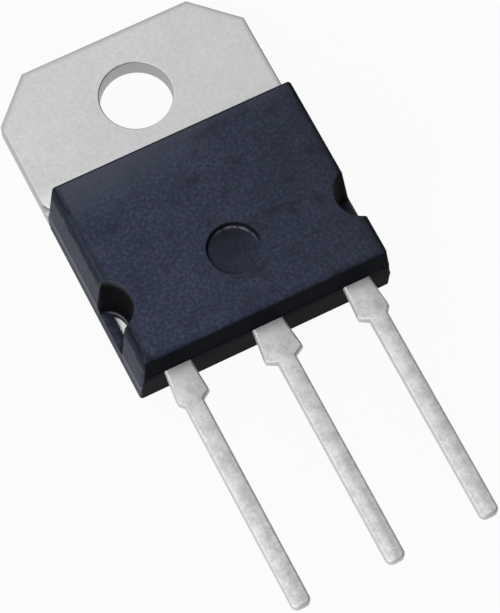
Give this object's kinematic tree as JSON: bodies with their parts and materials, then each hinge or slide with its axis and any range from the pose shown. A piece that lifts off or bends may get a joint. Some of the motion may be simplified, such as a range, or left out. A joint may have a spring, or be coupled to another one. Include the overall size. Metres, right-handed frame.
{
  "type": "power transistor",
  "caption": "Power transistor in a flat moulded package: a metal tab with a mounting hole, a black epoxy body and a row of straight flat leads.",
  "frame": {"origin": "centre of the mounting hole on the metal back face", "axes": "+Z out of the front of the moulding, +Y towards the free end of the tab, leads towards -Y, +X to the right seen from the front with the leads down"},
  "size_m": [0.0152, 0.0351, 0.0048],
  "materials": {
    "nickel_plate": "matt nickel plating over copper, fine and even, slightly frosted",
    "tinned_lead": "dull dipped tin over copper, mottled",
    "solder": "dull grey soft solder",
    "silicon": "dark polished silicon",
    "bond_wire": "bright drawn aluminium wire",
    "epoxy": "black filled epoxy, finely textured by spark-eroded mould faces"
  },
  "bodies": {
    "root": {"heat_spreader": "nickel_plate", "collector_lead": "tinned_lead", "base_lead": "tinned_lead", "emitter_lead": "tinned_lead", "die_attach_solder": "solder", "silicon_die": "silicon", "base_bond_wire": "bond_wire", "emitter_bond_wire_1": "bond_wire", "emitter_bond_wire_2": "bond_wire", "moulded_body": "epoxy"}
  },
  "joints": []
}
